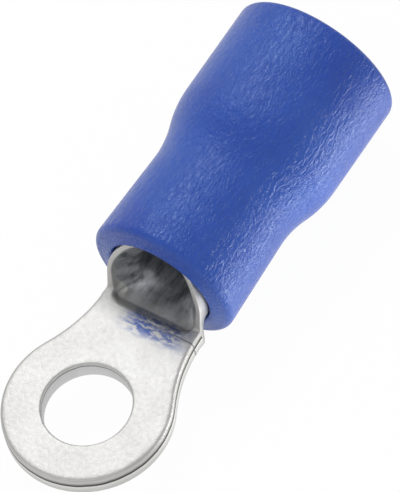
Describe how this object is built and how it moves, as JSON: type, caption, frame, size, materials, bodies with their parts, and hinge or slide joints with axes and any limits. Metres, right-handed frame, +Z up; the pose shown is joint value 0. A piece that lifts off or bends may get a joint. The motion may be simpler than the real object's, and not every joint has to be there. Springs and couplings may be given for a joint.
{
  "type": "ring terminal",
  "caption": "Insulated crimp ring terminal: a flat tinned copper ring for an M3 stud, a rolled barrel, and a blue vinyl sleeve with a wide wire entry.",
  "frame": {"origin": "middle of the stud hole, on the top face of the ring tongue", "axes": "+X along the barrel towards the wire entry, +Z up, out of the tongue's top face"},
  "size_m": [0.0183, 0.0064, 0.0063],
  "materials": {
    "tinned_copper": "satin tin plate",
    "blue_vinyl": "satin"
  },
  "bodies": {
    "root": {"terminal": "tinned_copper", "sleeve": "blue_vinyl"}
  },
  "joints": []
}
